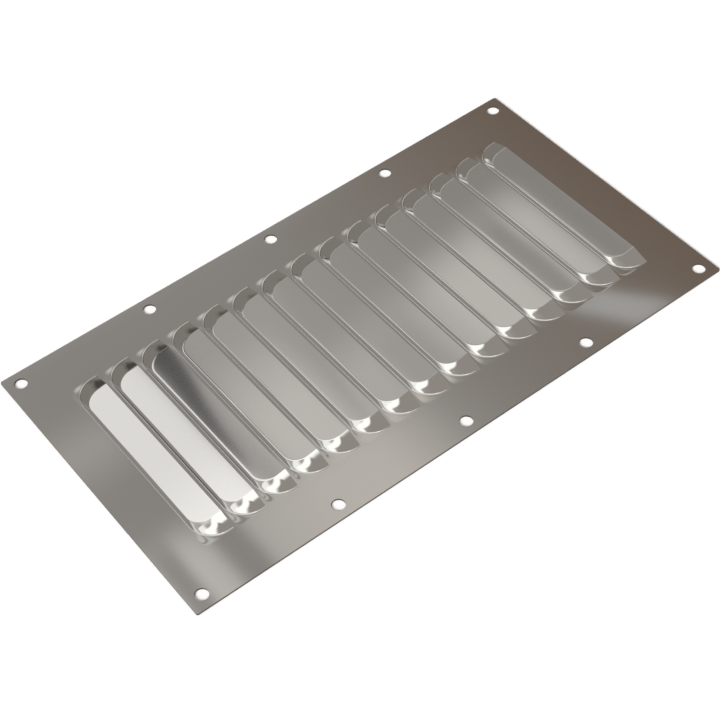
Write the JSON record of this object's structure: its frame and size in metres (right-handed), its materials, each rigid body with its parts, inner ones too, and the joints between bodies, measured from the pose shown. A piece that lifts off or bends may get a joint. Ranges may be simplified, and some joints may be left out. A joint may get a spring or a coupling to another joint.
{
  "type": "louvred sheet metal panel",
  "caption": "Rectangular ventilation panel pressed from one sheet of bright stainless steel, with parallel louvres side by side and a row of screw holes along each long edge.",
  "frame": {"origin": "middle of the flat back face, which lies on whatever the panel is screwed to", "axes": "+X along the panel's length towards the side the louvres open to, +Y across the panel along the louvres, +Z out of the front, where the louvres stand up"},
  "size_m": [0.232, 0.128, 0.0031],
  "materials": {
    "stainless_sheet": "polished stainless sheet"
  },
  "bodies": {
    "root": {"louvre_panel": "stainless_sheet"}
  },
  "joints": []
}
